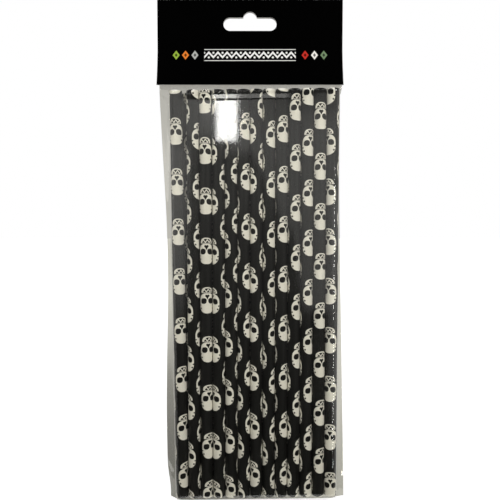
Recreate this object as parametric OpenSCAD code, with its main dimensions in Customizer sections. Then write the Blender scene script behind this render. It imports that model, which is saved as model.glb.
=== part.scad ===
// Retail pack of paper drinking straws: two nested rows of straws stand in a clear film bag,
// and a folded header card with a hang slot closes the bag's mouth.
// The origin is the crown of the hang slot's notch, where a display peg carries the pack.
// +Z points up and the printed front looks toward -Y. All sizes are in millimetres.

/* [Straws] */
// Length of each straw
straw_length = 198; // [150:0.5:230]
// Outside diameter of each straw
straw_diameter = 6; // [5:0.1:8]
// Thickness of the rolled paper wall
straw_wall = 0.4; // [0.3:0.05:0.6]
// Straws in the front row; the row behind nests between them and holds one fewer
front_row_count = 13; // [6:1:16]
// Gap between neighbouring straws
straw_gap = 0.1; // [0.05:0.01:0.3]
// How far the top of the first straw leans out of the row
first_straw_lean = 2; // [0:0.1:2.5]

/* [Bag] */
// Thickness of the clear film
film = 0.12; // [0.08:0.01:0.16]
// Room between the film and the straws
film_clearance = 0.1; // [0.06:0.01:0.3]
// Flat film on each side of the bundle
side_margin = 4.1; // [3.9:0.1:8]
// How far the bundle stands to the right of the card's middle
bundle_offset = 3.05; // [0:0.05:3.05]
// Open film between the card's lower edge and the straw tops
neck_height = 2.3; // [2:0.1:12]
// Width of the open slit between the two sheets at the mouth
mouth_slit = 0.1; // [0.06:0.01:0.2]
// How far the bag's folded foot hangs below the straws
foot_drop = 3; // [1:0.1:8]

/* [Header card] */
// Height of one panel, from the fold to the lower edge
card_height = 41.6; // [34:0.1:60]
// Thickness of the card
card_thickness = 0.35; // [0.25:0.05:0.6]
// How far the card reaches past the bag on each side
card_overhang = 0.8; // [0.3:0.05:3]
// Depth of the folded card at its lower edge, outside to outside
card_lower_depth = 8; // [7:0.1:10]
// Room between the flared panels and the film
card_room = 0.25; // [0.2:0.05:0.4]
// How much shorter the back panel is than the front panel
back_panel_rise = 4; // [0:0.5:10]

/* [Hang slot] */
// Length of the slot, end to end
slot_length = 25.6; // [20:0.1:34]
// Height of the slot's long part
slot_height = 6.3; // [5:0.1:8]
// Width of the round notch in the slot's upper edge
notch_width = 6.7; // [5:0.1:9]
// How far the notch rises above the slot's long part
notch_rise = 2.7; // [1:0.1:3]
// Card left between the notch and the fold
card_above_notch = 6; // [4:0.5:12]

/* [Adhesive strips] */
// Height of each strip
strip_height = 5; // [3:0.5:8]
// Thickness of each strip
strip_thickness = 0.1; // [0.06:0.01:0.15]
// Distance from each end of the card to the strips
strip_inset = 4; // [3:0.5:12]

/* [Hidden] */
$fn = 72;

// Straws and rows
straw_radius = straw_diameter / 2;
straw_pitch = straw_diameter + straw_gap;
row_depth = straw_pitch * sqrt(3) / 4;
back_row_count = front_row_count - 1;
straw_count = front_row_count + back_row_count;
bundle_width = back_row_count * straw_pitch + straw_diameter;

// Heights, from the notch's crown
fold_z = card_above_notch;
card_low_z = fold_z - card_height;
slot_low_z = -notch_rise - slot_height;
mouth_z = slot_low_z - 0.8;
strip_top_z = mouth_z - 0.6;
strip_low_z = strip_top_z - strip_height;
flare_z = strip_low_z - 0.5;
straw_top_z = card_low_z - neck_height;
straw_foot_z = straw_top_z - straw_length;
foot_room = 0.12;
bag_foot_z = straw_foot_z - foot_room;
foot_fold_z = bag_foot_z - foot_drop;

// Bag: it hangs straight from its mouth to the off-centre bundle, so it tilts a little
bag_width = bundle_width + 2 * side_margin;
bag_height = mouth_z - bag_foot_z;
bag_tilt = atan(bundle_offset / bag_height);
tilt_rise = bag_width / 2 * sin(bag_tilt);
cavity_radius = straw_radius + film_clearance;
cavity_depth = row_depth + cavity_radius;
end_straw_x = back_row_count * straw_pitch / 2;
lean_room = max(0, first_straw_lean - bundle_offset / 2);
left_end_x = -end_straw_x - lean_room;
right_end_x = end_straw_x + bundle_offset;
pleat_reach = 0.3;
left_pleat_x = left_end_x - cavity_radius - pleat_reach;
right_pleat_x = right_end_x + cavity_radius + pleat_reach;

// Card
card_width = bag_width + 2 * card_overhang;
closed_gap = mouth_slit / 2 + film + strip_thickness;
lower_gap = card_lower_depth / 2 - card_thickness;
fold_radius = closed_gap + card_thickness;
fold_centre_z = fold_z - fold_radius;
flare_steps = 12;
foot_steps = 6;

function straw_name(i) = str("straw_", i < 10 ? "0" : "", i);

// Share of the flare reached at a height: 0 where the panels lie flat, 1 at the lower edge
function flare_share(z) = max(0, min(1, (flare_z - z) / (flare_z - card_low_z)));

// Half of the gap between the card's two panels at a height
function panel_gap(z) = closed_gap + (lower_gap - closed_gap) * pow(flare_share(z), 1.6);

// Half of the bag's outside depth at a height inside the card
function neck_gap(z) = panel_gap(z) - strip_thickness - card_room * flare_share(z);

// Heights at which the flare's curve is drawn, from the lower edge up
flare_heights = [for (i = [0 : flare_steps]) card_low_z + (flare_z - card_low_z) * i / flare_steps];

// Point where a line from p touches a circle; side is 1 or -1
function tangent_point(p, centre, radius, side) =
    let (
        reach = norm(p - centre),
        heading = atan2(p[1] - centre[1], p[0] - centre[0]),
        turn = side * acos(radius / reach)
    )
    centre + radius * [cos(heading + turn), sin(heading + turn)];

// Extrudes a side view, drawn as depth and height, along the width
module across(width) {
    rotate([90, 0, 90])
        linear_extrude(width, center = true)
            children();
}

// Side view of the folded card, as one line offset from the gap between its panels
function card_line(offset) = concat(
    [for (z = flare_heights) [panel_gap(z) + offset, z]],
    fold_arc(closed_gap + offset),
    flipped([for (z = flare_heights) [panel_gap(z) + offset, z]])
);

// Half circle over the fold
function fold_arc(radius) =
    [for (turn = [0 : 10 : 180]) [radius * cos(turn), fold_centre_z + radius * sin(turn)]];

// The same points on the other side of the middle, in the opposite order
function flipped(points) =
    [for (i = [len(points) - 1 : -1 : 0]) [-points[i][0], points[i][1]]];

module card_section() {
    inner = card_line(0);
    polygon(concat(card_line(card_thickness), [for (i = [len(inner) - 1 : -1 : 0]) inner[i]]));
}

// Long slot with round ends and a round notch above its middle, cut through both panels
module hang_slot_cut() {
    end_radius = slot_height / 2;
    notch_radius = notch_width / 2;
    depth = fold_radius * 6;
    rotate([90, 0, 0])
        linear_extrude(depth, center = true) {
            for (side = [-1, 1])
                translate([side * (slot_length / 2 - end_radius), slot_low_z + end_radius])
                    circle(end_radius);
            translate([-slot_length / 2 + end_radius, slot_low_z])
                square([slot_length - slot_height, slot_height]);
            translate([0, -notch_radius])
                circle(notch_radius);
            translate([-notch_radius, slot_low_z + end_radius])
                square([notch_width, -notch_radius - slot_low_z - end_radius]);
        }
}

// Takes away the foot of the back panel, which ends above the front panel's lower edge
module back_panel_cut() {
    translate([-card_width / 2 - 1, 0, card_low_z - 1])
        cube([card_width + 2, card_lower_depth, back_panel_rise + 1]);
}

module header_card() {
    color([0.05, 0.05, 0.05])
        difference() {
            across(card_width)
                card_section();
            hang_slot_cut();
            back_panel_cut();
        }
}

// Plan of the bag around the two rows; skin is 0 for the cavity and the film for the outside
module bag_plan(skin) {
    radius = cavity_radius + skin;
    translate([left_end_x, -row_depth - radius])
        square([right_end_x - left_end_x, 2 * (row_depth + radius)]);
    bag_end(left_end_x, left_pleat_x - 2 * skin, radius);
    bag_end(right_end_x, right_pleat_x + 2 * skin, radius);
}

// Round end of the plan, drawn in to the pleat where the two sheets meet
module bag_end(end_x, pleat_x, radius) {
    pleat = [pleat_x, 0];
    front = [end_x, -row_depth];
    back = [end_x, row_depth];
    side = pleat_x < end_x ? 1 : -1;
    for (centre = [front, back])
        translate(centre)
            circle(radius);
    polygon([
        pleat,
        tangent_point(pleat, front, radius, side),
        front,
        back,
        tangent_point(pleat, back, radius, -side)
    ]);
}

// Half of the cavity's depth below the straws: share is 0 at the foot's fold, 1 at the straws
function foot_gap(share) = mouth_slit / 2 + (cavity_depth - mouth_slit / 2) * pow(share, 0.6);

// Side view of the bag: a fold under the straws, deep around them, drawn in at the neck, flat
// at the mouth. The neck starts low enough for the tilted film to miss the card's lower edge.
module bag_section(skin, lift) {
    half = concat(
        [
            for (i = [0 : foot_steps])
                [foot_gap(i / foot_steps) + skin, foot_fold_z + foot_drop * i / foot_steps - skin]
        ],
        [
            [cavity_depth + skin, straw_top_z],
            [neck_gap(card_low_z) - film + skin, card_low_z - tilt_rise]
        ],
        [for (z = flare_heights) [neck_gap(z) - film + skin, z]],
        [[mouth_slit / 2 + skin, mouth_z + lift]]
    );
    polygon(concat(half, flipped(half)));
}

// Solid inside the bag's outer or inner skin
module bag_body(skin, lift) {
    intersection() {
        translate([0, 0, foot_fold_z - 2])
            linear_extrude(mouth_z - foot_fold_z + 4)
                bag_plan(skin);
        across(bag_width + 10)
            bag_section(skin, lift);
    }
}

// Two sheets welded together outside the pleats
module side_seams() {
    overlap = 0.15;
    for (side = [-1, 1]) {
        start = side < 0 ? -bag_width / 2 : right_pleat_x + overlap;
        stop = side < 0 ? left_pleat_x - overlap : bag_width / 2;
        translate([start, -film, foot_fold_z - film])
            cube([stop - start, 2 * film, mouth_z - foot_fold_z + film]);
    }
}

module bag() {
    color([0.85, 0.85, 0.82, 0.35])
        translate([0, 0, mouth_z])
            rotate([0, -bag_tilt, 0])
                translate([0, 0, -mouth_z]) {
                    difference() {
                        bag_body(film, 0);
                        bag_body(0, 1);
                    }
                    side_seams();
                }
}

// Double-sided strip between one panel and the film; side is -1 in front and 1 behind
module adhesive_strip(side) {
    width = card_width - 2 * strip_inset;
    depth = closed_gap - strip_thickness / 2;
    color([0.92, 0.9, 0.84])
        translate([0, side * depth, strip_low_z + strip_height / 2])
            cube([width, strip_thickness, strip_height], center = true);
}

module adhesive_strip_front() {
    adhesive_strip(-1);
}

module adhesive_strip_back() {
    adhesive_strip(1);
}

// Straws 1 to front_row_count stand in front, and the others stand behind, both left to right
module straw(i) {
    in_front = i <= front_row_count;
    place = in_front ? i - 1 : i - front_row_count - 0.5;
    across_bundle = place * straw_pitch - end_straw_x;
    row_side = in_front ? -1 : 1;
    lean = i == 1 ? asin(first_straw_lean / straw_length) : 0;
    color([0.16, 0.16, 0.15])
        translate([
            bundle_offset + across_bundle,
            row_side * row_depth,
            straw_foot_z + (across_bundle + bundle_offset) * tan(bag_tilt)
        ])
            rotate([0, -lean, 0])
                difference() {
                    cylinder(h = straw_length, r = straw_radius);
                    translate([0, 0, -1])
                        cylinder(h = straw_length + 2, r = straw_radius - straw_wall);
                }
}

header_card();
bag();
adhesive_strip_front();
adhesive_strip_back();
for (i = [1 : straw_count])
    straw(i);
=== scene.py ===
"""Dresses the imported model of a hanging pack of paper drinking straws."""

import math

import bmesh
import bpy
import numpy as np
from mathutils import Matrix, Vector, noise


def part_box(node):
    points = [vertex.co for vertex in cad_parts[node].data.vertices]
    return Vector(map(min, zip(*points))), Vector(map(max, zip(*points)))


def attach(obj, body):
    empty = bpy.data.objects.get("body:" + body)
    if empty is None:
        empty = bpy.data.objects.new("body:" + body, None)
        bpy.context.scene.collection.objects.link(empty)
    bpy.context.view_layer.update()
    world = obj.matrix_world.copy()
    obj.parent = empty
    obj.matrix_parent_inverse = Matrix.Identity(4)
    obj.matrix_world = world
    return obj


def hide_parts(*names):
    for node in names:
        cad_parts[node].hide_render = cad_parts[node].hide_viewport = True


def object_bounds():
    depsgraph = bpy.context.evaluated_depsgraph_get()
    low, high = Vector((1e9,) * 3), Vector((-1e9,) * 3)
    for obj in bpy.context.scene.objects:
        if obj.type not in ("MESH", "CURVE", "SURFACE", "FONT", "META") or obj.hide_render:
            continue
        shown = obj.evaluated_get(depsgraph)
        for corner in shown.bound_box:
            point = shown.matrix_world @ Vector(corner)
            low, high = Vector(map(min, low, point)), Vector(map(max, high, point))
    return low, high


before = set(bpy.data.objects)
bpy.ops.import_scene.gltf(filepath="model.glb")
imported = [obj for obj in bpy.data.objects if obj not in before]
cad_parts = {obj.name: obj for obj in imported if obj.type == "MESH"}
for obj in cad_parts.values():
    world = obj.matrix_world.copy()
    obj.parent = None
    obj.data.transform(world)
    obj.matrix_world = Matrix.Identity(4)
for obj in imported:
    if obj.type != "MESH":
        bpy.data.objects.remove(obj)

bl_info = {
    "name": "Paper straw pack",
    "version": (1, 0, 0),
    "blender": (4, 5, 0),
    "location": "3D View > Sidebar > Straw Pack",
    "description": "Printed straws in a clear film bag under a folded header card",
    "category": "Object",
}

CAD_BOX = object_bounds()
MM = 0.001
DEGREE = math.pi / 180
STRAW_NODES = sorted(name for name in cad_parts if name.startswith("straw_"))
FRONT_ROW = [name for name in STRAW_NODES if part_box(name)[0].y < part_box(STRAW_NODES[-1])[0].y - MM]
UPRIGHT_STRAW = STRAW_NODES[1]

# Where the print stands on each straw of the front row, left to right: how far the first column
# is turned from the front in degrees, the height of its lowest figure above the foot in
# millimetres, and how far the column turns with each millimetre down, in degrees.
FRONT_PRINTS = (
    (58, 11.5, 0.34),
    (-58, 21.3, 0.25),
    (46, 2.2, 0.30),
    (-48, 1.8, 0.24),
    (-36, 4.6, 0.39),
    (-70, 1.6, 0.37),
    (-42, 11.6, 0.24),
    (-84, 21.6, 0.26),
    (70, 12.0, 0.24),
    (82, 22.2, 0.30),
    (63, 5.4, 0.21),
    (34, 17.9, 0.16),
    (-4, 5.8, 0.33),
)


def straw_facts(name):
    """Foot centre, lean to the left and outside radius of one straw, from its solid."""
    low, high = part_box(name)
    radius = (high.y - low.y) / 2
    length = high.z - low.z
    lean = math.asin(max(0.0, high.x - low.x - 2 * radius) / length)
    foot = Vector((high.x - radius, (low.y + high.y) / 2, low.z + radius * math.sin(lean)))
    return foot, lean, radius


def smoothstep(value, low, high):
    """0 below low, 1 above high, and a smooth rise between them."""
    share = np.clip((value - low) / (high - low), 0.0, 1.0)
    return share * share * (3 - 2 * share)


# Settings


class StrawSettings(bpy.types.PropertyGroup):
    """Sizes and colours of the straws and their print."""

    wall: bpy.props.FloatProperty(
        name="Wall", description="Thickness of the rolled paper", default=0.4 * MM,
        unit="LENGTH", precision=5)
    rim: bpy.props.FloatProperty(
        name="Rim", description="Rounding of the cut ends", default=0.06 * MM,
        unit="LENGTH", precision=5)
    sides: bpy.props.IntProperty(
        name="Sides", description="Flat strips around each straw", default=48, min=12)
    period: bpy.props.FloatProperty(
        name="Print period", description="Height from one figure of a column to the next",
        default=23.86 * MM, unit="LENGTH", precision=5)
    ink: bpy.props.FloatVectorProperty(
        name="Ink", description="Colour of the printed ground", subtype="COLOR",
        default=(0.0045, 0.0045, 0.004))
    figure: bpy.props.FloatVectorProperty(
        name="Figure", description="Colour of the bare paper that the print leaves",
        subtype="COLOR", default=(0.80, 0.78, 0.70))
    ply: bpy.props.FloatVectorProperty(
        name="Inner ply", description="Colour of the paper inside the straw",
        subtype="COLOR", default=(0.72, 0.70, 0.64))


class BagSettings(bpy.types.PropertyGroup):
    """Sizes and colours of the film bag."""

    tint: bpy.props.FloatVectorProperty(
        name="Tint", description="Share of light that one sheet lets through",
        subtype="COLOR", default=(0.955, 0.947, 0.91))
    gloss: bpy.props.FloatProperty(
        name="Gloss", description="Roughness of the film's surface", default=0.055,
        min=0.0, max=1.0)
    haze: bpy.props.FloatProperty(
        name="Haze", description="Share of light that the film scatters", default=0.004,
        min=0.0, max=1.0)
    ripple: bpy.props.FloatProperty(
        name="Ripple", description="Height of the ripples over the straws",
        default=0.02 * MM, unit="LENGTH", precision=6)
    slack: bpy.props.FloatProperty(
        name="Slack", description="How loosely the film passes round the outer straws",
        default=0.08, min=0.0, max=0.3)
    crumple: bpy.props.FloatProperty(
        name="Crumple", description="Sideways waves of the flat margins",
        default=0.5 * MM, unit="LENGTH", precision=6)


class CardSettings(bpy.types.PropertyGroup):
    """Sizes and colours of the header card."""

    thickness: bpy.props.FloatProperty(
        name="Thickness", description="Thickness of the card", default=0.35 * MM,
        unit="LENGTH", precision=5)
    slot_length: bpy.props.FloatProperty(
        name="Slot length", description="Length of the hang slot", default=25.6 * MM,
        unit="LENGTH", precision=5)
    slot_height: bpy.props.FloatProperty(
        name="Slot height", description="Height of the slot's long part", default=6.3 * MM,
        unit="LENGTH", precision=5)
    notch_width: bpy.props.FloatProperty(
        name="Notch width", description="Width of the round notch", default=6.7 * MM,
        unit="LENGTH", precision=5)
    notch_rise: bpy.props.FloatProperty(
        name="Notch rise", description="Height of the notch above the slot", default=2.7 * MM,
        unit="LENGTH", precision=5)
    ink: bpy.props.FloatVectorProperty(
        name="Ink", description="Colour of the printed face", subtype="COLOR",
        default=(0.0003, 0.0003, 0.0003))
    board: bpy.props.FloatVectorProperty(
        name="Board", description="Colour of the bare board", subtype="COLOR",
        default=(0.70, 0.69, 0.66))
    ornament: bpy.props.FloatVectorProperty(
        name="Ornament", description="Colour of the plain ornament", subtype="COLOR",
        default=(0.80, 0.79, 0.77))


class StageSettings(bpy.types.PropertyGroup):
    """Floor, lamps and camera."""

    floor: bpy.props.FloatVectorProperty(
        name="Floor", description="Colour of the floor", subtype="COLOR",
        default=(0.78, 0.78, 0.77))
    key_power: bpy.props.FloatProperty(
        name="Key power", description="Power of the main lamp", default=2.45, unit="POWER")
    camera_distance: bpy.props.FloatProperty(
        name="Camera distance", description="From the lens to the front row of straws",
        default=0.2168, unit="LENGTH")
    camera_pitch: bpy.props.FloatProperty(
        name="Camera pitch", description="How far the camera looks down", default=2.4 * DEGREE,
        unit="ROTATION")
    camera_height: bpy.props.FloatProperty(
        name="Aim height", description="Height that the camera looks at, below the slot",
        default=-114.2 * MM, unit="LENGTH")
    lens: bpy.props.FloatProperty(
        name="Lens", description="Focal length on a 36 mm sensor", default=32.6)


# Node trees


class Number:
    """A number that varies over a surface: one socket, with operators as Math nodes."""

    def __init__(self, tree, socket):
        self.tree = tree
        self.socket = socket

    def math(self, operation, *others):
        values = dict(enumerate((self, *others)))
        node = self.tree.node("ShaderNodeMath", {"operation": operation}, values)
        return Number(self.tree, node.outputs[0])

    def __add__(self, other):
        return self.math("ADD", other)

    __radd__ = __add__

    def __mul__(self, other):
        return self.math("MULTIPLY", other)

    __rmul__ = __mul__

    def __sub__(self, other):
        return self.math("SUBTRACT", other)

    def __rsub__(self, other):
        return self.math("MULTIPLY_ADD", -1.0, other)

    def __truediv__(self, other):
        return self.math("DIVIDE", other)

    def __abs__(self):
        return self.math("ABSOLUTE")

    def __gt__(self, other):
        return self.math("GREATER_THAN", other)

    def __lt__(self, other):
        return self.math("LESS_THAN", other)

    def least(self, other):
        return self.math("MINIMUM", other)

    def most(self, other):
        return self.math("MAXIMUM", other)

    def floor(self):
        return self.math("FLOOR")

    def fraction(self):
        return self.math("FRACT")

    def root(self):
        return self.math("SQRT")

    def power(self, exponent):
        return self.math("POWER", exponent)

    def sine(self):
        return self.math("SINE")

    def cosine(self):
        return self.math("COSINE")

    def rise(self, low, high):
        """0 below low and 1 above high, smooth between them."""
        node = self.tree.node(
            "ShaderNodeMapRange",
            {"interpolation_type": "SMOOTHSTEP"},
            {"Value": self, "From Min": low, "From Max": high},
        )
        return Number(self.tree, node.outputs[0])

    def inside(self, blur):
        """1 where this distance is below zero, with an edge of the given width."""
        return 1.0 - self.rise(-blur / 2, blur / 2)

    def between(self, start, end):
        """1 between two soft limits, each given by where it begins and where it is done."""
        return self.rise(*start) * (1.0 - self.rise(*end))


class Tree:
    """A shader or geometry node tree, with short ways to add its nodes."""

    def __init__(self, node_tree):
        self.nodes = node_tree.nodes
        self.links = node_tree.links
        self.nodes.clear()

    def node(self, kind, settings=None, inputs=None):
        """Adds a node, then sets its settings, then the values or links of its sockets."""
        node = self.nodes.new(kind)
        for key, value in (settings or {}).items():
            if key == "stops":
                self.set_stops(node.color_ramp, value)
            elif key == "items":
                while len(node.index_switch_items) < value:
                    node.index_switch_items.new()
            else:
                setattr(node, key, value)
        for key, value in (inputs or {}).items():
            self.feed(node.inputs[key], value)
        return node

    def feed(self, socket, value):
        if isinstance(value, Number):
            value = value.socket
        if isinstance(value, bpy.types.NodeSocket):
            self.links.new(value, socket)
        else:
            socket.default_value = value

    def set_stops(self, ramp, stops):
        while len(ramp.elements) < len(stops):
            ramp.elements.new(1.0)
        for element, (place, level) in zip(ramp.elements, stops):
            element.position = place
            element.color = (level, level, level, 1.0)

    def number(self, kind, output=0, settings=None, inputs=None):
        return Number(self, self.node(kind, settings, inputs).outputs[output])

    def parts(self, vector):
        """The three components of a vector socket."""
        node = self.node("ShaderNodeSeparateXYZ", None, {0: vector})
        return [Number(self, out) for out in node.outputs]

    def mix_colour(self, share, first, second):
        node = self.node(
            "ShaderNodeMix", {"data_type": "RGBA"}, {0: share, 6: first, 7: second})
        return node.outputs[2]

    def place(self):
        """The point that is shaded, in the piece's own coordinates."""
        return self.node("ShaderNodeTexCoord").outputs["Object"]

    def grain(self, place, scale, detail, **more):
        """A noise texture around a place; the scale counts its cells in a metre."""
        return self.number(
            "ShaderNodeTexNoise", 0, None,
            {"Vector": place, "Scale": scale, "Detail": detail, **more})

    def ramp(self, stops, share):
        """A level that runs through the stops, each a share and its level."""
        return self.number("ShaderNodeValToRGB", 0, {"stops": stops}, {0: share})

    def bumps(self, strength, distance, height):
        """The normal of a surface with fine relief."""
        node = self.node(
            "ShaderNodeBump", None,
            {"Strength": strength, "Distance": distance, "Height": height})
        return node.outputs[0]


def material(name, paint):
    """A new material whose tree is filled by paint, which returns the surface shader."""
    made = bpy.data.materials.new(name)
    made.use_nodes = True
    tree = Tree(made.node_tree)
    surface = paint(tree)
    tree.node("ShaderNodeOutputMaterial", None, {"Surface": surface.outputs[0]})
    return made


def solid(colour):
    return (*colour, 1.0)


# Print shapes


def disc(p, q, centre, radius):
    """Distance from a disc's edge, negative inside."""
    across = p - centre[0]
    up = q - centre[1]
    return (across * across + up * up).root() - radius


def oval(p, q, centre, half, squareness):
    """Distance from the edge of an oval; above 2 the oval grows squarer."""
    across = abs(p - centre[0]) / half[0]
    up = abs(q - centre[1]) / half[1]
    reach = (across.power(squareness) + up.power(squareness)).power(1.0 / squareness)
    return (reach - 1.0) * min(half)


def skull_mask(p, q):
    """Plain skull, drawn upright around its middle; p and q are millimetres."""
    blur, squareness = 0.12, 2.4
    side = abs(p)
    above_temples, below_cheeks = (q - 1.9) / 4.4, (0.6 - q) / 4.1
    beyond = above_temples.most(below_cheeks).most(0.0)
    rim = ((side / 4.2).power(squareness) + beyond.power(squareness)).power(1.0 / squareness)
    bone_foot, jaw_top, mouth_top = -3.4, -3.6, -3.85
    bone = ((rim - 1.0) * 3.6).most(bone_foot - q).inside(blur)
    socket = oval(side - q * 0.12, q, (1.85, 0.3), (1.5, 1.4), squareness).inside(blur)
    lobe = disc(side, q, (0.5, -2.25), 0.58)
    point = ((side + (q + 0.45) * 0.55) * 0.88).most(-2.2 - q)
    nose = lobe.least(point).inside(blur)
    temple = disc(side, q, (3.3, 4.0), 0.42).least(disc(side, q, (3.9, 2.4), 0.36))
    face = bone * (1.0 - socket.most(nose).most(temple.inside(blur)))

    lip_width, tooth_pitch, tooth_height, tooth_line = 0.55, 1.9, 1.3, 0.34
    chin = oval(p, q, (0, -4.0), (3.1, 2.4), 2.2)
    jaw = chin.most(q - jaw_top).inside(blur)
    mouth = (chin + lip_width).most(q - mouth_top).inside(blur)
    peak = abs((p / tooth_pitch + 0.25).fraction() - 0.5) * 2.0 - 0.5
    teeth = (abs(q + 4.75 - peak * tooth_height) - tooth_line).inside(blur)
    return face.most(jaw * (1.0 - mouth * (1.0 - teeth)))


def printed_straw(tree, look):
    """Black ground with two staggered columns of upside-down figures in bare paper."""
    uv = tree.node("ShaderNodeUVMap", {"uv_map": "UVMap"})
    turn, row, _ = tree.parts(uv.outputs[0])
    _, _, radius = straw_facts(STRAW_NODES[0])
    girth = 2 * math.pi * radius / MM
    period = look.period / MM
    column = (turn * 2.0 + 0.5).floor()
    across = (turn * 2.0 - column) * (girth / 2)
    along = ((row + column * 0.5 + 0.5).fraction() - 0.5) * period
    figure = skull_mask(across, along * -1.0)

    place = tree.place()
    fibre = tree.grain(place, 2600.0, 4.0, Roughness=0.65)
    mottle = tree.grain(place, 260.0, 2.0)
    worn = figure * (0.93 + fibre * 0.1)
    colour = tree.mix_colour(worn, solid(look.ink), solid(look.figure))
    seam_slope, seam_width = 0.9, 0.012
    seam = abs((turn + row * seam_slope).fraction() - 0.5).rise(0.0, seam_width)
    relief = tree.bumps(0.25, 0.06 * MM, fibre * 0.35 + seam * 0.5 + mottle * 0.6)
    return tree.node(
        "ShaderNodeBsdfPrincipled", None,
        {
            "Base Color": colour,
            "Roughness": 0.42 + mottle * 0.12 + figure * 0.12,
            "Specular IOR Level": 0.1,
            "Normal": relief,
        })


def bare_paper(tree, colour):
    """Unprinted paper, with a fine fibre."""
    fibre = tree.grain(tree.place(), 1800.0, 5.0)
    shade = tree.mix_colour(
        fibre, solid([0.86 * part for part in colour]), solid(colour))
    return tree.node(
        "ShaderNodeBsdfPrincipled", None,
        {
            "Base Color": shade,
            "Roughness": 0.75,
            "Specular IOR Level": 0.3,
            "Normal": tree.bumps(0.3, 0.05 * MM, fibre),
        })


# Straws


def straw_tree():
    """Geometry nodes for one rolled straw, with the print's place in its UV map."""
    group = bpy.data.node_groups.new("Rolled straw", "GeometryNodeTree")
    sockets = (
        ("Length", "NodeSocketFloat"), ("Radius", "NodeSocketFloat"),
        ("Wall", "NodeSocketFloat"), ("Rim", "NodeSocketFloat"),
        ("Sides", "NodeSocketInt"), ("Turn", "NodeSocketFloat"),
        ("First Row", "NodeSocketFloat"), ("Period", "NodeSocketFloat"),
        ("Twist", "NodeSocketFloat"), ("Foot", "NodeSocketVector"),
        ("Lean", "NodeSocketFloat"), ("Printed", "NodeSocketMaterial"),
        ("Ply", "NodeSocketMaterial"),
    )
    for name, kind in sockets:
        group.interface.new_socket(name, in_out="INPUT", socket_type=kind)
    group.interface.new_socket("Geometry", in_out="OUTPUT", socket_type="NodeSocketGeometry")

    tree = Tree(group)
    given = tree.node("NodeGroupInput").outputs
    size = {name: Number(tree, given[name]) for name, kind in sockets if "Float" in kind}
    length, radius, rim = size["Length"], size["Radius"], size["Rim"]
    bore = radius - size["Wall"]

    # Nine rings: up the outside, over the top rim, down the bore and round the foot
    radii = (radius, radius, radius - rim, bore + rim, bore, bore, bore + rim, radius - rim, radius)
    heights = (rim, length - rim, length, length, length - rim, rim, 0.0, 0.0, rim)
    rings = len(radii)
    grid = tree.node(
        "GeometryNodeMeshGrid", None,
        {"Vertices X": Number(tree, given["Sides"]) + 1.0, "Vertices Y": rings})
    across, up, _ = tree.parts(tree.node("GeometryNodeInputPosition").outputs[0])
    ring = ((up + 0.5) * (rings - 1.0) + 0.5).floor()
    picked = [
        tree.number(
            "GeometryNodeIndexSwitch", 0, {"data_type": "FLOAT", "items": rings},
            {"Index": ring, **dict(enumerate(values, 1))})
        for values in (radii, heights)
    ]
    angle = across * (2 * math.pi)
    wrapped = tree.node(
        "ShaderNodeCombineXYZ", None,
        {0: picked[0] * angle.sine(), 1: picked[0] * angle.cosine() * -1.0, 2: picked[1]})
    tube = tree.node(
        "GeometryNodeSetPosition", None,
        {"Geometry": grid.outputs["Mesh"], "Position": wrapped.outputs[0]})

    around, _, _ = tree.parts(grid.outputs["UV Map"])
    _, _, height = tree.parts(tree.node("GeometryNodeInputPosition").outputs[0])
    place = tree.node(
        "ShaderNodeCombineXYZ", None,
        {
            0: around - 0.5 - size["Turn"] + size["Twist"] * height,
            1: (height - size["First Row"]) / size["Period"],
        })
    mapped = tree.node(
        "GeometryNodeStoreNamedAttribute", {"data_type": "FLOAT2", "domain": "CORNER"},
        {"Geometry": tube.outputs[0], "Name": "UVMap", "Value": place.outputs[0]})
    closed = tree.node(
        "GeometryNodeMergeByDistance", None,
        {"Geometry": mapped.outputs[0], "Distance": 1e-6})

    x, y, _ = tree.parts(tree.node("GeometryNodeInputPosition").outputs[0])
    inside = (x * x + y * y).root() < radius - rim * 0.8
    printed = tree.node(
        "GeometryNodeSetMaterial", None,
        {"Geometry": closed.outputs[0], "Material": given["Printed"]})
    lined = tree.node(
        "GeometryNodeSetMaterial", None,
        {"Geometry": printed.outputs[0], "Selection": inside, "Material": given["Ply"]})
    turn = tree.node("ShaderNodeCombineXYZ", None, {1: size["Lean"] * -1.0})
    placed = tree.node(
        "GeometryNodeTransform", None,
        {
            "Geometry": lined.outputs[0],
            "Translation": given["Foot"],
            "Rotation": turn.outputs[0],
        })
    real = tree.node("GeometryNodeRealizeInstances", None, {0: placed.outputs[0]})
    tree.node("NodeGroupOutput", None, {0: real.outputs[0]})
    return group


def baked_mesh(holder, name):
    """Turns an object with its modifiers into one plain mesh, and removes the object."""
    graph = bpy.context.evaluated_depsgraph_get()
    made = bpy.data.meshes.new_from_object(
        holder.evaluated_get(graph), preserve_all_data_layers=True, depsgraph=graph)
    bpy.data.objects.remove(holder)
    made.name = name
    return made


def evaluated_mesh(group, values, name):
    """Runs a geometry tree with the given inputs and returns its result as a plain mesh."""
    holder = bpy.data.objects.new(name, bpy.data.meshes.new(name))
    bpy.context.scene.collection.objects.link(holder)
    modifier = holder.modifiers.new("Shape", "NODES")
    modifier.node_group = group
    keys = {
        item.name: item.identifier
        for item in group.interface.items_tree if item.in_out == "INPUT"
    }
    for label, value in values.items():
        modifier[keys[label]] = value
    return baked_mesh(holder, name)


def add_piece(name, mesh, nodes):
    """Puts a finished mesh into the scene in place of its CAD nodes."""
    piece = bpy.data.objects.new(name, mesh)
    bpy.context.scene.collection.objects.link(piece)
    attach(piece, "root")
    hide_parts(*nodes)
    return piece


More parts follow.
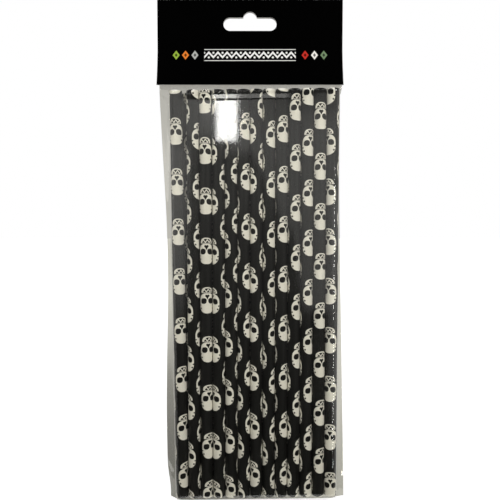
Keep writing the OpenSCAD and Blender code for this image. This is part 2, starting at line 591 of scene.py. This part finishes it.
class StrawOperator(bpy.types.Operator):
    """Rolls every straw and turns its print as it stands in the bag."""

    bl_idname = "straw_pack.straws"
    bl_label = "Straws"

    def execute(self, context):
        look = context.scene.straw_look
        printed = material("Printed paper", lambda tree: printed_straw(tree, look))
        ply = material("Inner ply", lambda tree: bare_paper(tree, look.ply))
        group = straw_tree()
        low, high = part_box(UPRIGHT_STRAW)
        turn_step, rise_step, back_twist = 67.0, 7.3, 0.12
        behind = 0
        for name in STRAW_NODES:
            foot, lean, radius = straw_facts(name)
            if name in FRONT_ROW:
                turn, first, twist = FRONT_PRINTS[FRONT_ROW.index(name) % len(FRONT_PRINTS)]
            else:
                behind += 1
                turn, first, twist = turn_step * behind % 360, rise_step * behind % 24, back_twist
            mesh = evaluated_mesh(group, {
                "Length": high.z - low.z, "Radius": radius, "Wall": look.wall,
                "Rim": look.rim, "Sides": look.sides, "Turn": turn / 360,
                "First Row": first * MM, "Period": look.period,
                "Twist": twist / 360 / MM, "Foot": foot, "Lean": lean,
                "Printed": printed, "Ply": ply,
            }, name + "_printed")
            mesh.shade_smooth()
            add_piece(name + "_printed", mesh, [name])
        return {"FINISHED"}


# Header card


class Card:
    """Section of the folded card, worked out from its solid and the strips inside it."""

    flare_power = 1.6
    flare_drop = 0.5 * MM

    def __init__(self, look):
        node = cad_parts["header_card"]
        low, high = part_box("header_card")
        strip_low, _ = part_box("adhesive_strip_front")
        self.thickness = look.thickness
        self.width = high.x - low.x
        self.low_z = low.z
        self.back_low_z = min(
            (node.matrix_world @ vert.co).z
            for vert in node.data.vertices if vert.co.y > look.thickness * 2)
        self.top_z = high.z
        self.flare_z = strip_low.z - self.flare_drop
        self.closed_gap = -strip_low.y
        self.lower_gap = -low.y - look.thickness

    def flare(self, z):
        """0 where the panels are closed, and 1 at the front panel's lower edge."""
        share = min(1.0, max(0.0, (self.flare_z - z) / (self.flare_z - self.low_z)))
        return share ** self.flare_power

    def gap(self, z):
        """Half of the gap between the two panels at a height."""
        return self.closed_gap + (self.lower_gap - self.closed_gap) * self.flare(z)

    def section(self):
        """Points (depth, height) of the outer face: up the front, over the fold, down the back."""
        radius = self.closed_gap + self.thickness
        centre = self.top_z - radius
        panels = []
        for low_z in (self.low_z, self.back_low_z):
            flare = np.linspace(low_z, self.flare_z, 40)
            flat = np.linspace(self.flare_z, centre, 9)[1:-1]
            panels.append([(self.gap(z) + self.thickness, z) for z in (*flare, *flat)])
        front = [(-y, z) for y, z in panels[0]]
        over = [
            (-radius * math.cos(turn), centre + radius * math.sin(turn))
            for turn in np.linspace(0, math.pi, 13)
        ]
        return front + over + panels[1][::-1]


def slot_outline(look, steps=14):
    """The hang slot's outline as (x, z), anticlockwise from its lower right end."""
    end = look.slot_height / 2
    notch = look.notch_width / 2
    middle_z = -look.notch_rise - end
    reach = look.slot_length / 2 - end
    right = [
        (reach + end * math.cos(a), middle_z + end * math.sin(a))
        for a in np.linspace(-math.pi / 2, math.pi / 2, steps)
    ]
    start = math.asin(max(-1.0, (notch - look.notch_rise) / notch))
    crown = [
        (notch * math.cos(a), -notch + notch * math.sin(a))
        for a in np.linspace(start, math.pi - start, steps)
    ]
    left = [(-x, z) for x, z in right[::-1]]
    return right + crown + left


def card_ornament(x, z, tree, look):
    """A plain zigzag band with coloured lozenges at both ends; x and z in millimetres."""
    blur = 0.15
    row_z = -20.6
    up = z - row_z
    step, half_length, slope = 4.4, 22.0, 1.1
    beside = ((x / step + 0.5).fraction() - 0.5) * step
    peaks = abs(beside) * slope - slope
    zigzag = abs(up - peaks) * 0.68 - 0.42
    dot_height, dot_radius, rule_height, rule_half = 1.15, 0.5, 2.75, 0.16
    above = disc(abs(beside), up, (0, dot_height), dot_radius)
    below = disc(abs(beside), up, (step / 2, -dot_height), dot_radius)
    rules = abs(abs(up) - rule_height) - rule_half
    band = zigzag.least(above).least(below).least(rules)
    white = band.most(abs(x) - half_length).inside(blur)
    colour = tree.mix_colour(white, solid(look.ink), solid(look.ornament))
    tints = (
        (-35.5, (0.28, 0.42, 0.05)), (-31.0, (0.75, 0.20, 0.03)), (-26.5, (0.42, 0.43, 0.40)),
        (26.5, (0.50, 0.03, 0.02)), (31.0, (0.78, 0.76, 0.70)), (35.5, (0.16, 0.24, 0.13)),
    )
    outer, inner = 1.7, 0.7
    for place, tint in tints:
        reach = abs(x - place) + abs(up) * 0.75
        lozenge = (reach - outer).inside(blur) * (1.0 - (reach - inner).inside(blur) * 0.85)
        colour = tree.mix_colour(lozenge, colour, solid(tint))
    return colour


def coated_card(tree, look, card):
    """Black coated print, slightly worn along the fold and the edges."""
    uv = tree.node("ShaderNodeUVMap", {"uv_map": "UVMap"})
    across, along, _ = tree.parts(uv.outputs[0])
    colour = card_ornament(across / MM, along / MM, tree, look)
    place = tree.place()
    grain = tree.grain(place, 900.0, 4.0)
    smear = tree.grain(place, 45.0, 3.0)
    fold_wear = along.rise(card.top_z - 0.9 * MM, card.top_z + 0.4 * MM)
    edge_wear = abs(across).rise(card.width / 2 - 0.35 * MM, card.width / 2)
    wear = fold_wear.most(edge_wear) * grain.rise(0.5, 0.75) * 0.15
    colour = tree.mix_colour(wear, colour, solid(look.board))
    return tree.node(
        "ShaderNodeBsdfPrincipled", None,
        {
            "Base Color": colour,
            "Roughness": 0.34 + smear * 0.14,
            "Specular IOR Level": 0.006,
            "Normal": tree.bumps(0.12, 0.08 * MM, grain * 0.4 + smear),
        })


def folded_card_mesh(card, look, paints):
    """Cuts the flat sheet with both slots, then folds it along the card's section."""
    line = card.section()
    lengths = [0.0]
    for (y0, z0), (y1, z1) in zip(line, line[1:]):
        lengths.append(lengths[-1] + math.hypot(y1 - y0, z1 - z0))
    total = lengths[-1]
    radius = card.closed_gap + card.thickness
    fold_half = math.pi * radius / 2
    fold_z = card.top_z - radius
    middle = lengths[line.index(max(line, key=lambda point: point[1]))]

    def front_length(z):
        """Distance along the sheet of a height on the flat part of the front panel."""
        return middle - fold_half - (fold_z - z)

    work = bmesh.new()
    half = card.width / 2
    outer = [(-half, 0.0), (half, 0.0), (half, total), (-half, total)]
    outline = slot_outline(look)
    front_slot = [(x, front_length(z)) for x, z in outline]
    back_slot = [(x, 2 * middle - s) for x, s in front_slot]
    edges = []
    for loop in (outer, front_slot, back_slot):
        points = [work.verts.new((x, s, 0.0)) for x, s in loop]
        edges += [work.edges.new((a, b)) for a, b in zip(points, points[1:] + points[:1])]
    bmesh.ops.triangle_fill(work, edges=edges, use_beauty=True, use_dissolve=False)
    cuts = [((0.0, s, 0.0), (0.0, 1.0, 0.0)) for s in lengths[1:-1]]
    cuts += [((x, 0.0, 0.0), (1.0, 0.0, 0.0)) for x in np.linspace(-half, half, 12)[1:-1]]
    for place, normal in cuts:
        bmesh.ops.bisect_plane(
            work, geom=work.verts[:] + work.edges[:] + work.faces[:],
            plane_co=place, plane_no=normal, dist=1e-7)
    bmesh.ops.recalc_face_normals(work, faces=work.faces[:])
    if work.faces[0].normal.z < 0:
        bmesh.ops.reverse_faces(work, faces=work.faces[:])
    layer = work.loops.layers.uv.new("UVMap")
    places = np.array(line)
    for face in work.faces:
        for loop in face.loops:
            x, s = loop.vert.co.x, loop.vert.co.y
            loop[layer].uv = (x, fold_z + fold_half - abs(s - middle))
    for vert in work.verts:
        s = vert.co.y
        y = float(np.interp(s, lengths, places[:, 0]))
        z = float(np.interp(s, lengths, places[:, 1]))
        vert.co = (vert.co.x, y, z)
    sheet = bpy.data.meshes.new("header_card_sheet")
    work.to_mesh(sheet)
    work.free()
    for paint in paints:
        sheet.materials.append(paint)
    holder = bpy.data.objects.new("header_card_sheet", sheet)
    bpy.context.scene.collection.objects.link(holder)
    wall = holder.modifiers.new("Wall", "SOLIDIFY")
    wall.thickness = card.thickness
    wall.offset = -1.0
    wall.use_even_offset = True
    wall.material_offset = 1
    wall.material_offset_rim = 1
    mesh = baked_mesh(holder, "header_card_folded")
    mesh.shade_smooth()
    mesh.set_sharp_from_angle(angle=30 * DEGREE)
    return mesh


class CardOperator(bpy.types.Operator):
    """Folds the printed header card over the mouth of the bag."""

    bl_idname = "straw_pack.header_card"
    bl_label = "Header card"

    def execute(self, context):
        look = context.scene.card_look
        card = Card(look)
        paints = (
            material("Printed card", lambda tree: coated_card(tree, look, card)),
            material("Bare board", lambda tree: bare_paper(tree, look.board)),
        )
        mesh = folded_card_mesh(card, look, paints)
        add_piece("header_card_folded", mesh, ["header_card"])
        return {"FINISHED"}


class StripOperator(bpy.types.Operator):
    """Gives the two adhesive strips inside the card their finish."""

    bl_idname = "straw_pack.adhesive_strips"
    bl_label = "Adhesive strips"

    def execute(self, context):
        tape = material("Adhesive tape", lambda tree: bare_paper(tree, (0.80, 0.76, 0.64)))
        for name in ("adhesive_strip_front", "adhesive_strip_back"):
            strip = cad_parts[name]
            for slot in strip.material_slots:
                slot.material = tape
        return {"FINISHED"}


# Bag


def clear_film(tree, look):
    """Clear glossy film with faint streaks and a little haze."""
    place = tree.place()
    drawn = tree.node(
        "ShaderNodeMapping", None, {"Vector": place, "Scale": (1.0, 1.0, 0.12)}).outputs[0]
    streaks = tree.grain(drawn, 300.0, 3.0)
    ripples = tree.grain(place, 90.0, 1.0)
    grain = tree.grain(place, 1500.0, 2.0)
    relief = tree.bumps(0.1, 0.04 * MM, streaks * 0.12 + ripples * 0.5 + grain * 0.5)
    see_through = tree.node(
        "ShaderNodeBsdfTransparent", None, {"Color": solid(look.tint)})
    dust = tree.node(
        "ShaderNodeBsdfDiffuse", None, {"Color": (0.85, 0.84, 0.80, 1.0)})
    shine = tree.node(
        "ShaderNodeBsdfPrincipled", None,
        {
            "Base Color": (0.95, 0.95, 0.93, 1.0),
            "Metallic": 1.0,
            "Roughness": look.gloss,
            "Normal": relief,
        })
    milky = tree.node(
        "ShaderNodeMixShader", None,
        {0: streaks.rise(0.35, 0.8) * look.haze + look.haze * 0.5,
         1: see_through.outputs[0], 2: dust.outputs[0]})
    slant = tree.number(
        "ShaderNodeLayerWeight", "Facing", None, {"Blend": 0.5, "Normal": relief})
    head_on = 0.04
    mirror = head_on + slant.power(5.0) * (1.0 - head_on)
    both_faces = mirror * (2.0 - mirror)
    return tree.node(
        "ShaderNodeMixShader", None,
        {0: both_faces, 1: milky.outputs[0], 2: shine.outputs[0]})


class Pouch:
    """Shape of the film bag in its own tilted frame, from the solids that it holds."""

    stand_off = 0.12 * MM
    neck_height = 3.5 * MM
    mouth_rise = 0.6 * MM
    foot_gap = 0.1 * MM
    fold_gap = 0.05 * MM
    side_gap = 0.3 * MM
    pleat_gap = 0.3 * MM
    closed_room = 0.16 * MM
    lower_room = 0.4 * MM

    def __init__(self, card):
        first, lean, radius = straw_facts(FRONT_ROW[0])
        second, _, _ = straw_facts(UPRIGHT_STRAW)
        last, _, _ = straw_facts(FRONT_ROW[-1])
        self.card = card
        self.first, self.lean, self.last = first, lean, last
        self.tilt = math.atan2(last.z - second.z, last.x - second.x)
        self.row_depth = -first.y
        self.wrap = radius + self.stand_off
        self.full = self.row_depth + self.wrap
        self.reach = self.wrap + self.pleat_gap
        self.top_z = card.low_z - self.neck_height
        self.mouth_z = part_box("adhesive_strip_front")[1].z + self.mouth_rise
        self.foot_z = second.z - second.x * math.tan(self.tilt) - self.foot_gap
        self.half_width = card.width / 2 - self.side_gap
        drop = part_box("bag")[0].z - self.mouth_z + self.half_width * math.sin(self.tilt)
        self.fold_z = self.mouth_z + drop / math.cos(self.tilt) + self.fold_gap

    def ends(self, z):
        """Where the middles of the two outer straws stand at a height, in the bag's own frame."""
        drift = (z - self.mouth_z) * math.sin(self.tilt)
        left = self.first.x - (z - self.first.z) * math.tan(self.lean)
        return (left + drift) / math.cos(self.tilt), (self.last.x + drift) / math.cos(self.tilt)

    def columns(self, z):
        """Places across the sheet, from the left edge to the right edge, at a height."""
        left, right = self.ends(z)
        over = 0.5 * MM
        places = (
            -self.half_width, left - self.reach, left + over,
            right - over, right + self.reach, self.half_width)
        runs = [
            np.linspace(start, end, count)[:-1]
            for start, end, count in zip(places, places[1:], (19, 26, 110, 26, 19))
        ]
        return np.concatenate([*runs, [self.half_width]])

    def bundle_depth(self, x, z, slack=0.0):
        """Half of the film's depth around the two rows, slightly slack over the outer straws."""
        left, right = self.ends(z)
        if left <= x <= right:
            return self.full
        reach = self.reach
        end = left if x < left else right
        beyond = abs(x - end) * (1.0 - slack)
        span = math.hypot(reach, self.row_depth)
        lift = math.atan2(self.row_depth, reach)
        turn = math.acos(self.wrap / span)
        touch = turn - lift
        touch_x = self.wrap * math.cos(touch)
        touch_y = self.row_depth + self.wrap * math.sin(touch)
        if beyond <= touch_x:
            return self.row_depth + math.sqrt(max(0.0, self.wrap ** 2 - beyond ** 2))
        if beyond >= reach:
            return 0.0
        return touch_y * (reach - beyond) / (reach - touch_x)

    def curl(self, side, z):
        """How far a flat margin bends back, as an angle; side is -1 at the left, 1 at the right."""
        below_card = self.card.low_z - z
        if side > 0:
            bend = np.interp(-z / MM, (40, 60, 95, 230), (74, 74, 60, 12))
            return float(bend * smoothstep(below_card, -1 * MM, 6 * MM)) * DEGREE
        middle_z, half_height, corner_height = -118 * MM, 100 * MM, 20 * MM
        reach = min(1.0, abs(z - middle_z) / half_height)
        corner = smoothstep(self.foot_z + corner_height - z, 0.0, corner_height)
        bend = 50 * (1 - reach ** 2) ** 2 + 38 * corner
        return float(bend * smoothstep(below_card, -1 * MM, 14 * MM)) * DEGREE

    def margin(self, x, z):
        """Where a point of a margin comes to lie, across and back, once the margin is bent."""
        left, right = self.ends(z)
        side = -1.0 if x < 0 else 1.0
        pleat = left - self.reach if side < 0 else right + self.reach
        out = (x - pleat) * side
        if out <= 0:
            return x, 0.0
        bend = self.curl(side, z) * float(smoothstep(out, 0.0, 0.8 * MM))
        return pleat + side * out * math.cos(bend), out * math.sin(bend)

    def neck_depth(self, x, z):
        """Half of the depth that the foot's fold, the straw tops and the card leave."""
        closed = self.card.closed_gap - self.closed_room
        lower = self.card.gap(self.card.low_z) - self.lower_room
        if z <= self.foot_z:
            return self.full * max(0.0, (z - self.fold_z) / (self.foot_z - self.fold_z)) ** 0.6
        if z <= self.top_z:
            return self.full + self.bulge(x, z)
        if z <= self.card.low_z:
            share = (z - self.top_z) / (self.card.low_z - self.top_z)
            return self.full + (lower - self.full) * share ** 1.1
        return closed + (lower - closed) * self.card.flare(z)

    def bulge(self, x, z):
        """How far the film stands off the straws just below their tops, in a slight ridge."""
        below = (self.top_z - z) / MM
        foot = (self.top_z - self.foot_z) / MM
        ridge = np.interp(
            below, (0, 1.1, 1.5, 3.4, 4.2, foot), (0, 0.031, 0.050, 0.174, 0.197, 0.0))
        edge = np.interp(below, (0, 1.2, 1.7, foot), (0, 0.036, 0.042, 0.0))
        left = smoothstep(x, -40 * MM, -18 * MM)
        right = smoothstep(x, 19 * MM, 34 * MM)
        return float((ridge * (1 - right) + edge * right) * left) * MM

    def placed(self, x, y, z):
        """A point of the bag's own frame, turned as the bag hangs."""
        up = z - self.mouth_z
        c, s = math.cos(self.tilt), math.sin(self.tilt)
        return (x * c - up * s, y, x * s + up * c + self.mouth_z)


def pouch_mesh(pouch, look):
    """Front and back sheets, welded at both sides and folded under the straws."""
    brow_z = pouch.top_z - 8 * MM
    foot = pouch.fold_z + (pouch.foot_z - pouch.fold_z) * np.linspace(0, 1, 9)[:-1] ** 1.5
    body = np.linspace(pouch.foot_z, brow_z, 115)[:-1]
    brow = np.linspace(brow_z, pouch.top_z, 33)[:-1]
    neck = np.linspace(pouch.top_z, pouch.card.low_z, 9)[:-1]
    inside = np.linspace(pouch.card.low_z, pouch.mouth_z, 20)
    zs = np.concatenate([foot, body, brow, neck, inside])
    rows = [pouch.columns(z) for z in zs]
    last = len(rows[0]) - 1

    thin, least_gap = 0.6 * MM, 0.03 * MM
    verts, index = [], {}

    def add(side, i, j):
        """The number of a vertex of the front (-1) or back (1) sheet, made when first asked for."""
        edge = i in (0, last) or j == 0
        key = (0 if edge else side, i, j)
        if key in index:
            return index[key]
        x, z = float(rows[j][i]), float(zs[j])
        limit = pouch.neck_depth(x, z)
        free = float(smoothstep(pouch.card.low_z - z, -2 * MM, 3 * MM))
        slack = look.slack * free * (0.5 + noise.noise(Vector((x * 9, z * 26, 11.0 * side))))
        round_depth = pouch.bundle_depth(x, z, slack)
        depth = round_depth * limit / pouch.full if z < pouch.top_z else min(round_depth, limit)
        flat = float(smoothstep(thin - round_depth, -thin, thin))
        wave = noise.noise(Vector((x * 30 + side * 7.0, z * 12, 3.0 * side)))
        ripple = look.ripple * (0.5 + 0.5 * wave)
        sway = noise.noise(Vector((x * 130, z * 38, 20.0))) * 0.6
        sway += noise.noise(Vector((x * 520, z * 15, 31.0))) * 0.25
        gap = 0.0 if edge else depth + least_gap + ripple * free
        x, back = pouch.margin(x, z)
        y = side * gap + look.crumple * sway * flat * free + back
        index[key] = len(verts)
        verts.append(pouch.placed(x, y, z))
        return index[key]

    faces = []
    for j in range(len(zs) - 1):
        for i in range(last):
            corners = ((i, j), (i + 1, j), (i + 1, j + 1), (i, j + 1))
            front = [add(-1, *corner) for corner in corners]
            back = [add(1, *corner) for corner in corners]
            faces += [front, [back[0], *back[:0:-1]]]
    mesh = bpy.data.meshes.new("film_bag")
    mesh.from_pydata(verts, [], faces)
    mesh.validate()
    mesh.shade_smooth()
    fold = {index[key] for key in index if key[2] == 0}
    for edge in mesh.edges:
        edge.use_edge_sharp = edge.vertices[0] in fold and edge.vertices[1] in fold
    mesh.update()
    return mesh


class BagOperator(bpy.types.Operator):
    """Drapes the clear film bag round both rows of straws."""

    bl_idname = "straw_pack.bag"
    bl_label = "Film bag"

    def execute(self, context):
        look = context.scene.bag_look
        pouch = Pouch(Card(context.scene.card_look))
        mesh = pouch_mesh(pouch, look)
        mesh.materials.append(material("Clear film", lambda tree: clear_film(tree, look)))
        add_piece("film_bag", mesh, ["bag"])
        return {"FINISHED"}


# Stage


def floor_paint(tree, look):
    """Pale floor that the camera sees as white wherever no shadow falls; through the film it glows
    dimmer, with a painted shadow near the pack and on its left.
    """
    path = tree.node("ShaderNodeLightPath")
    camera = Number(tree, path.outputs["Is Camera Ray"])
    filmed = Number(tree, path.outputs["Transparent Depth"]) > 0.5
    x, y, _ = tree.parts(tree.place())
    white, warm, black = (1.0, 1.0, 1.0), (1.0, 0.995, 0.93), (0.0, 0.0, 0.0)
    # Painted shadow: seen through the film, the floor glows less near the pack and less on the left
    # than on the right
    filmed_glow_painted_shadow = y.rise(-0.05, 0.8) * 0.58 + 0.08
    filmed_glow_painted_shadow = filmed_glow_painted_shadow + x.rise(-0.01, 0.04) * (0.28 - y.rise(0.1, 0.6) * 0.24)
    bare = (x * x + y * y).root().rise(0.2, 1.2) * 0.35 + 0.72
    strength = camera * (bare * (1.0 - filmed) + filmed_glow_painted_shadow * filmed)
    # Painted shade: seen through the film, the floor's own colour is darkened towards black
    shade = tree.mix_colour(camera * filmed * 0.7, solid(look.floor), solid(black))
    matt = tree.node("ShaderNodeBsdfDiffuse", None, {"Color": shade})
    tinge = tree.mix_colour(camera * filmed, solid(white), solid(warm))
    glow = tree.node("ShaderNodeEmission", None, {"Color": tinge, "Strength": strength})
    return tree.node("ShaderNodeAddShader", None, {0: matt.outputs[0], 1: glow.outputs[0]})


def studio_ahead(tree, side, z):
    """Light that comes from the camera's half of the studio, and shines back from the film."""
    walls = tree.ramp(
        [(0.29, 0.0), (0.325, 0.01), (0.3825, 0.04), (0.425, 0.07), (0.475, 0.11), (0.5, 0.15),
         (0.53, 0.22), (0.567, 0.24), (0.59, 0.30), (0.64, 0.34), (0.67, 0.05), (0.9, 0.05),
         (0.95, 0.6)], z * 0.5 + 0.5)

    # A hazy panel above a sill that steps down to the right, and a brighter pane in it
    sill = 0.197 - side.rise(-0.06, -0.03) * 0.027
    for start, end, drop in ((0.0, 0.05, 0.09), (0.05, 0.08, 0.08), (0.095, 0.135, 0.172)):
        sill = sill - side.rise(start, end) * drop
    framed = (z - sill).rise(-0.014, 0.014) * (1.0 - z.rise(0.30, 0.33))
    framed = framed * (1.0 - abs(side).rise(0.8, 1.2))
    haze = 0.5 - side.rise(-0.03, 0.03) * 0.16 + side.rise(0.12, 0.18) * 0.12
    panel = framed * haze * (1.0 - z.rise(0.21, 0.28) * side.rise(0.0, 0.08) * 0.8)
    pane = framed * z.rise(0.2, 0.29) * side.between((-0.15, -0.10), (-0.055, -0.03)) * 0.7

    # A narrow bright shelf above the panel, brightest at its left end
    shelf = z.between((0.37, 0.385), (0.44, 0.455)) * (1.0 - abs(side).rise(0.083, 0.092))
    shelf = shelf * (8.0 - side.rise(-0.034, -0.027) * 6.5)

    # Strips beside the pack, and the far walls at both sides
    left = (-1.0 * side).rise(0.152, 0.160) * z.between((-0.26, -0.04), (0.17, 0.2)) * 0.65
    right = side.rise(0.181, 0.188) * z.between((-0.45, -0.38), (0.06, 0.1)) * 0.4
    edge = side.between((0.173, 0.181), (0.183, 0.189)) * z.between((-0.37, -0.33), (0.0, 0.04))
    flank = abs(side).rise(0.9, 2.0) * abs(z).rise(0.75, 0.35) * 0.45
    return walls + panel + pane + shelf + left + right + edge * (1.0 - framed) * 0.42 + flank


def paint_world(world):
    """A white studio for the camera, and graded soft light from it for everything else."""
    world.use_nodes = True
    tree = Tree(world.node_tree)
    x, y, z = tree.parts(tree.node("ShaderNodeTexCoord").outputs["Generated"])
    ahead = studio_ahead(tree, x / abs(y).most(0.05), z)
    behind = tree.ramp(
        [(0.25, 0.3), (0.35, 0.45), (0.45, 0.54), (0.5, 0.54), (0.54, 0.53), (0.58, 0.50),
         (0.64, 0.45), (0.665, 0.36), (0.8, 0.34)], z * 0.5 + 0.5)
    away = y > 0.0
    soft = ahead * (1.0 - away) + behind * away
    path = tree.node("ShaderNodeLightPath")
    straight = Number(tree, path.outputs["Is Camera Ray"]) * (
        Number(tree, path.outputs["Transparent Depth"]) < 0.5)
    warm, white = (1.0, 0.99, 0.97), (1.0, 1.0, 1.0)
    background = tree.node(
        "ShaderNodeBackground", None,
        {
            "Color": tree.mix_colour(straight, solid(warm), solid(white)),
            "Strength": straight.most(soft * (1.0 - straight)),
        })
    tree.node("ShaderNodeOutputWorld", None, {"Surface": background.outputs[0]})


def add_facing(name, data, place, heading):
    """Puts a lamp or a camera at a place, looking along a heading."""
    holder = bpy.data.objects.new(name, data)
    holder.location = place
    holder.rotation_euler = heading.to_track_quat("-Z", "Y").to_euler()
    bpy.context.scene.collection.objects.link(holder)
    return holder


def add_lamp(name, place, aim, size, power):
    """A rectangular soft lamp at a place, facing an aim point."""
    lamp = bpy.data.lights.new(name, "AREA")
    lamp.shape = "RECTANGLE"
    lamp.size, lamp.size_y = size
    lamp.energy = power
    add_facing(name, lamp, place, Vector(aim) - Vector(place))


def add_floor(look, height):
    """A wide floor that reaches from just in front of the pack far back."""
    reach, front = 4.0, -7 * MM
    mesh = bpy.data.meshes.new("floor")
    corners = [(-reach, front), (reach, front), (reach, 2 * reach), (-reach, 2 * reach)]
    mesh.from_pydata([(x, y, height) for x, y in corners], [], [(0, 1, 2, 3)])
    mesh.materials.append(material("Pale floor", lambda tree: floor_paint(tree, look)))
    floor = bpy.data.objects.new("floor", mesh)
    bpy.context.scene.collection.objects.link(floor)


def add_camera(look, aim):
    """The camera at the photo's distance and pitch, looking at the aim point."""
    camera = bpy.data.cameras.new("Camera")
    camera.sensor_width = 36.0
    camera.lens = look.lens
    camera.clip_start = 0.01
    heading = Vector((0.0, math.cos(look.camera_pitch), -math.sin(look.camera_pitch)))
    place = aim - heading * look.camera_distance
    bpy.context.scene.camera = add_facing("Camera", camera, place, heading)


class StageOperator(bpy.types.Operator):
    """Sets up the floor, the lamps, the studio and the camera."""

    bl_idname = "straw_pack.stage"
    bl_label = "Stage"

    def execute(self, context):
        look = context.scene.stage_look
        low, _ = CAD_BOX
        add_floor(look, low.z - 0.5 * MM)
        world = bpy.data.worlds.new("Studio")
        context.scene.world = world
        paint_world(world)

        top = (0.0, low.y, -60 * MM)
        key, pane = (0.30, 0.30), (-0.011, low.y, -0.052)
        lamps = (
            ("Left key", (-0.45, -0.45, 0.35), top, key, look.key_power * 0.85),
            ("Right key", (0.45, -0.45, 0.35), top, key, look.key_power),
            ("Low fill", (0.0, -0.52, -0.90), (0.0, 0.0, -0.2), (1.10, 0.45), 1.75),
            ("Right strip", (0.24, -0.29, -0.205), (0.04, 0.0, -0.16), (0.012, 0.37), 0.3),
            ("Small window", (-0.0413, -0.60, 0.0915), pane, (0.0372, 0.075), 0.118),
        )
        for lamp in lamps:
            add_lamp(*lamp)
        add_camera(look, Vector((0.0, low.y, look.camera_height)))
        context.scene.view_settings.view_transform = "Standard"
        return {"FINISHED"}


# Add-on


class PackPanel(bpy.types.Panel):
    """Lists the settings and the steps that build the pack."""

    bl_idname = "VIEW3D_PT_straw_pack"
    bl_label = "Straw Pack"
    bl_space_type = "VIEW_3D"
    bl_region_type = "UI"
    bl_category = "Straw Pack"

    def draw(self, context):
        for name in LOOKS:
            box = self.layout.box()
            look = getattr(context.scene, name)
            for key in look.__annotations__:
                box.prop(look, key)
        for step in STEPS:
            self.layout.operator(step.bl_idname)


LOOKS = {
    "straw_look": StrawSettings,
    "bag_look": BagSettings,
    "card_look": CardSettings,
    "stage_look": StageSettings,
}
STEPS = (StrawOperator, BagOperator, CardOperator, StripOperator, StageOperator)


def register():
    for kind in (*LOOKS.values(), *STEPS, PackPanel):
        bpy.utils.register_class(kind)
    for name, kind in LOOKS.items():
        setattr(bpy.types.Scene, name, bpy.props.PointerProperty(type=kind))


def unregister():
    for name in LOOKS:
        delattr(bpy.types.Scene, name)
    for kind in reversed((*LOOKS.values(), *STEPS, PackPanel)):
        bpy.utils.unregister_class(kind)


def main():
    register()
    bpy.ops.straw_pack.straws()
    bpy.ops.straw_pack.bag()
    bpy.ops.straw_pack.header_card()
    bpy.ops.straw_pack.adhesive_strips()
    bpy.ops.straw_pack.stage()


if __name__ == "__main__":
    main()
